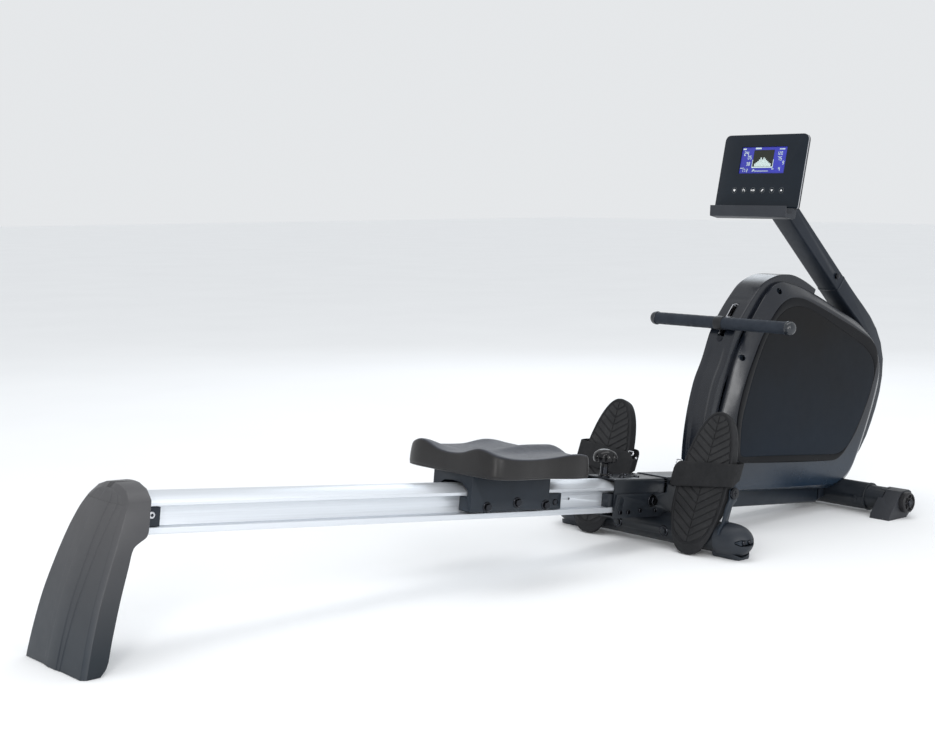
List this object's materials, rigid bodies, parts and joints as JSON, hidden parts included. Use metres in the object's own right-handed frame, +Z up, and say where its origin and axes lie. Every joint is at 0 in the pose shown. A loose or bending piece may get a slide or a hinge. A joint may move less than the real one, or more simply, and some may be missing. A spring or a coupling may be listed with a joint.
{
  "type": "rowing machine",
  "caption": "Folding rowing machine with a sliding seat on an aluminium rail, tilting footrests, a pull handle, an enclosed flywheel and a console on a bent mast.",
  "frame": {"origin": "centre of the bounding box in plan, on the floor", "axes": "+X forward from the seat to the flywheel, +Y to the left, +Z up"},
  "size_m": [2.4298, 0.6, 0.9556],
  "materials": {
    "black_steel": "satin",
    "dark_steel": "satin",
    "steel": "brushed",
    "rail_aluminium": "anodised",
    "black_plastic": "matt",
    "shell_plastic": "satin",
    "panel_plastic": "matt",
    "foot_plastic": "matt",
    "knob_plastic": "gloss",
    "console_gloss": "gloss",
    "screen_glass": "gloss",
    "seat_foam": "matt",
    "grip_foam": "matt",
    "rubber": "matt",
    "webbing": "woven",
    "roller_nylon": "matt"
  },
  "bodies": {
    "frame": {"fold_bracket": "dark_steel", "fold_pivot_bolt": "steel", "rail_rest_pad": "rubber", "console_body": "black_plastic", "console_face": "console_gloss", "console_screen": "screen_glass", "console_tray": "black_plastic", "main_stabiliser": "black_steel", "stabiliser_cap_right": "foot_plastic", "stabiliser_cap_left": "foot_plastic", "pedal_support_right": "steel", "pedal_support_left": "steel", "pedal_axle": "steel", "main_beam": "dark_steel", "lower_mast": "dark_steel", "upper_mast": "dark_steel", "mast_spigot": "steel", "mast_bolt": "steel", "front_stabiliser": "black_steel", "front_foot_right": "foot_plastic", "front_foot_left": "foot_plastic", "housing_shell_right": "shell_plastic", "side_panel_right": "panel_plastic", "housing_shell_left": "shell_plastic", "side_panel_left": "panel_plastic", "centre_cover": "shell_plastic", "strap_guide": "steel", "drive_belt": "rubber", "drive_frame": "steel"},
    "rail_body": {"rail": "rail_aluminium", "front_stop": "black_plastic", "rear_stop": "black_plastic", "rail_channel": "dark_steel", "rear_leg": "foot_plastic"},
    "seat": {"seat_carriage": "dark_steel", "seat_pad": "seat_foam"},
    "knob": {"lock_knob": "knob_plastic"},
    "pedal_right_body": {"pedal_right": "rubber", "pedal_strap_right": "webbing"},
    "pedal_left_body": {"pedal_left": "rubber", "pedal_strap_left": "webbing"},
    "handle_body": {"handle": "grip_foam", "pull_strap": "webbing"},
    "drum": {"strap_drum": "black_plastic"},
    "wheel_of_flywheel": {"flywheel": "steel"},
    "wheel_right": {"transport_wheel_right": "rubber"},
    "wheel_left": {"transport_wheel_left": "rubber"},
    "roller_rear_right_body": {"roller_rear_right": "roller_nylon"},
    "roller_rear_left_body": {"roller_rear_left": "roller_nylon"},
    "roller_middle_right_body": {"roller_middle_right": "roller_nylon"},
    "roller_middle_left_body": {"roller_middle_left": "roller_nylon"},
    "roller_front_right_body": {"roller_front_right": "roller_nylon"},
    "roller_front_left_body": {"roller_front_left": "roller_nylon"},
    "button_1_body": {"button_1": "console_gloss"},
    "button_2_body": {"button_2": "console_gloss"},
    "button_3_body": {"button_3": "console_gloss"},
    "button_4_body": {"button_4": "console_gloss"},
    "button_5_body": {"button_5": "console_gloss"},
    "button_6_body": {"button_6": "console_gloss"}
  },
  "joints": [
    {"name": "rail_fold", "type": "hinge", "parent": "frame", "child": "rail_body", "pos_m": [0.27022, 0, 0.1086], "axis": [0, 1, 0], "range_deg": [0, 66]},
    {"name": "seat_slide", "type": "slide", "parent": "rail_body", "child": "seat", "axis": [-0.9948, 0, 0.1019], "range_m": [0, 0.72]},
    {"name": "roller_rear_right_spin", "type": "hinge", "parent": "seat", "child": "roller_rear_right_body", "pos_m": [-0.25281, -0.036, 0.1645], "axis": [0, 1, 0], "continuous": true},
    {"name": "roller_rear_left_spin", "type": "hinge", "parent": "seat", "child": "roller_rear_left_body", "pos_m": [-0.25281, 0.036, 0.1645], "axis": [0, 1, 0], "continuous": true},
    {"name": "roller_middle_right_spin", "type": "hinge", "parent": "seat", "child": "roller_middle_right_body", "pos_m": [-0.1665, -0.036, 0.1631], "axis": [0, 1, 0], "continuous": true},
    {"name": "roller_middle_left_spin", "type": "hinge", "parent": "seat", "child": "roller_middle_left_body", "pos_m": [-0.1665, 0.036, 0.1631], "axis": [0, 1, 0], "continuous": true},
    {"name": "roller_front_right_spin", "type": "hinge", "parent": "seat", "child": "roller_front_right_body", "pos_m": [-0.0827, -0.036, 0.14707], "axis": [0, 1, 0], "continuous": true},
    {"name": "roller_front_left_spin", "type": "hinge", "parent": "seat", "child": "roller_front_left_body", "pos_m": [-0.0827, 0.036, 0.14707], "axis": [0, 1, 0], "continuous": true},
    {"name": "knob_pull", "type": "slide", "parent": "rail_body", "child": "knob", "axis": [0.1019, 0, 0.9948], "range_m": [0, 0.013], "stiffness_N_per_m": 400, "springref_m": -0.005},
    {"name": "pedal_right_tilt", "type": "hinge", "parent": "frame", "child": "pedal_right_body", "pos_m": [0.33672, -0.155, 0.144], "axis": [0, 1, 0], "range_deg": [0, 25]},
    {"name": "pedal_left_tilt", "type": "hinge", "parent": "frame", "child": "pedal_left_body", "pos_m": [0.33672, 0.155, 0.144], "axis": [0, 1, 0], "range_deg": [0, 25]},
    {"name": "handle_pull", "type": "slide", "parent": "frame", "child": "handle_body", "axis": [-1, 0, 0], "range_m": [0, 0.85], "stiffness_N_per_m": 20, "springref_m": -0.3, "deforming": ["pull_strap"]},
    {"name": "drum_spin", "type": "hinge", "parent": "frame", "child": "drum", "pos_m": [0.74472, 0, 0.47], "axis": [0, 1, 0], "range_deg": [-1700, 10]},
    {"name": "flywheel_spin", "type": "hinge", "parent": "frame", "child": "wheel_of_flywheel", "pos_m": [0.88472, 0, 0.3], "axis": [0, 1, 0], "continuous": true},
    {"name": "transport_wheel_right_spin", "type": "hinge", "parent": "frame", "child": "wheel_right", "pos_m": [0.99472, -0.261, 0.04], "axis": [0, 1, 0], "continuous": true},
    {"name": "transport_wheel_left_spin", "type": "hinge", "parent": "frame", "child": "wheel_left", "pos_m": [0.99472, 0.261, 0.04], "axis": [0, 1, 0], "continuous": true},
    {"name": "button_1_press", "type": "slide", "parent": "frame", "child": "button_1_body", "axis": [0.9736, 0, -0.2284], "range_m": [0, 0.0008], "stiffness_N_per_m": 400, "springref_m": -0.001},
    {"name": "button_2_press", "type": "slide", "parent": "frame", "child": "button_2_body", "axis": [0.9736, 0, -0.2284], "range_m": [0, 0.0008], "stiffness_N_per_m": 400, "springref_m": -0.001},
    {"name": "button_3_press", "type": "slide", "parent": "frame", "child": "button_3_body", "axis": [0.9736, 0, -0.2284], "range_m": [0, 0.0008], "stiffness_N_per_m": 400, "springref_m": -0.001},
    {"name": "button_4_press", "type": "slide", "parent": "frame", "child": "button_4_body", "axis": [0.9736, 0, -0.2284], "range_m": [0, 0.0008], "stiffness_N_per_m": 400, "springref_m": -0.001},
    {"name": "button_5_press", "type": "slide", "parent": "frame", "child": "button_5_body", "axis": [0.9736, 0, -0.2284], "range_m": [0, 0.0008], "stiffness_N_per_m": 400, "springref_m": -0.001},
    {"name": "button_6_press", "type": "slide", "parent": "frame", "child": "button_6_body", "axis": [0.9736, 0, -0.2284], "range_m": [0, 0.0008], "stiffness_N_per_m": 400, "springref_m": -0.001}
  ],
  "couplings": [
    {"joint": "roller_rear_right_spin", "follows": "seat_slide", "rad_per_m": -66.667},
    {"joint": "roller_rear_left_spin", "follows": "seat_slide", "rad_per_m": -66.667},
    {"joint": "roller_middle_right_spin", "follows": "seat_slide", "rad_per_m": 66.667},
    {"joint": "roller_middle_left_spin", "follows": "seat_slide", "rad_per_m": 66.667},
    {"joint": "roller_front_right_spin", "follows": "seat_slide", "rad_per_m": -66.667},
    {"joint": "roller_front_left_spin", "follows": "seat_slide", "rad_per_m": -66.667},
    {"joint": "drum_spin", "follows": "handle_pull", "rad_per_m": -32.468}
  ]
}
